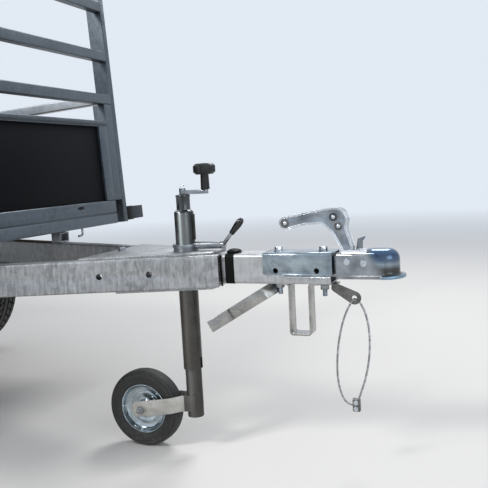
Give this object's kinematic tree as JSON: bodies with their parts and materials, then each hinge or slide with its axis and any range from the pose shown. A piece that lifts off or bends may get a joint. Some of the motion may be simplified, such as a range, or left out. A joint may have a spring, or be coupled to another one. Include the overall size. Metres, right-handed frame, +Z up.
{
  "type": "single-axle utility trailer",
  "caption": "Small galvanised box trailer with a V drawbar, ball coupling, jockey wheel, black panelled bed, tall front rack and drop tailgate.",
  "frame": {"origin": "centre of the towing ball in the coupling's socket", "axes": "+X ahead along the pull, +Y to the trailer's left-hand side, +Z up"},
  "size_m": [2.9664, 1.704, 1.4826],
  "materials": {
    "galvanised_steel": "matte",
    "zinc_plated_steel": "satin",
    "silver_paint": "satin",
    "cast_hub": "matte",
    "tyre_rubber": "matte",
    "solid_rubber": "satin",
    "black_plastic": "matte",
    "black_board": "satin",
    "brown_board": "satin",
    "amber_lens": "glossy",
    "red_lens": "glossy",
    "cable_sheath": "glossy"
  },
  "bodies": {
    "trailer": {"axle_beam": "galvanised_steel", "axle_hangers": "galvanised_steel", "axle_saddles": "galvanised_steel", "bed_brackets": "galvanised_steel", "bent_strap": "galvanised_steel", "cable_clip": "zinc_plated_steel", "cable_ear": "zinc_plated_steel", "clamp_lever": "zinc_plated_steel", "corner_posts": "galvanised_steel", "coupling_clamp": "zinc_plated_steel", "coupling_handle": "zinc_plated_steel", "coupling_head": "zinc_plated_steel", "cross_beams": "galvanised_steel", "drawbar_arms": "galvanised_steel", "end_rails": "galvanised_steel", "floor_panel": "brown_board", "front_tube": "galvanised_steel", "gusset_plates": "galvanised_steel", "hinge_knuckles": "galvanised_steel", "jockey_clamp": "zinc_plated_steel", "lamp_bodies": "black_plastic", "lever_grip": "black_plastic", "marker_lamp_lenses": "amber_lens", "mudguard_left": "black_plastic", "mudguard_right": "black_plastic", "mudguard_struts": "galvanised_steel", "plug_hoop": "galvanised_steel", "rack_posts": "galvanised_steel", "rack_rails": "galvanised_steel", "safety_cable": "cable_sheath", "side_rails": "galvanised_steel", "side_sills": "galvanised_steel", "suspension_arms": "galvanised_steel", "tail_lamp_lenses": "red_lens", "tarp_hooks": "zinc_plated_steel", "wall_frames": "galvanised_steel", "wall_panels": "black_board"},
    "wheel_right": {"wheel_hub_right": "cast_hub", "wheel_rim_right": "silver_paint", "tyre_right": "tyre_rubber"},
    "wheel_left": {"wheel_hub_left": "cast_hub", "wheel_rim_left": "silver_paint", "tyre_left": "tyre_rubber"},
    "tailgate": {"tailgate_frame": "galvanised_steel", "tailgate_panel": "black_board", "gate_hinge_leaves": "galvanised_steel", "gate_latches": "galvanised_steel"},
    "jockey_slide": {"jockey_outer_tube": "zinc_plated_steel", "jockey_cap": "zinc_plated_steel", "jockey_crank": "zinc_plated_steel", "crank_knob": "black_plastic"},
    "jockey_swivel": {"jockey_leg": "zinc_plated_steel", "jockey_axle_pin": "zinc_plated_steel"},
    "jockey_wheel": {"jockey_rim": "zinc_plated_steel", "jockey_tyre": "solid_rubber"}
  },
  "joints": [
    {"name": "wheel_right_spin", "type": "hinge", "parent": "trailer", "child": "wheel_right", "pos_m": [-1.985, -0.745, -0.187], "axis": [0, 1, 0], "continuous": true},
    {"name": "wheel_left_spin", "type": "hinge", "parent": "trailer", "child": "wheel_left", "pos_m": [-1.985, 0.745, -0.187], "axis": [0, 1, 0], "continuous": true},
    {"name": "jockey_wheel_raise", "type": "slide", "parent": "trailer", "child": "jockey_slide", "axis": [0, 0, 1], "range_m": [0, 0.1]},
    {"name": "jockey_wheel_swivel", "type": "hinge", "parent": "jockey_slide", "child": "jockey_swivel", "pos_m": [-0.488, 0, -0.32], "axis": [0, 0, 1], "continuous": true},
    {"name": "jockey_wheel_spin", "type": "hinge", "parent": "jockey_swivel", "child": "jockey_wheel", "pos_m": [-0.63, 0, -0.368], "axis": [0, 1, 0], "continuous": true},
    {"name": "tailgate_drop", "type": "hinge", "parent": "trailer", "child": "tailgate", "pos_m": [-2.90283, 0, 0.05359], "axis": [0, -1, 0], "range_deg": [0, 180]}
  ]
}
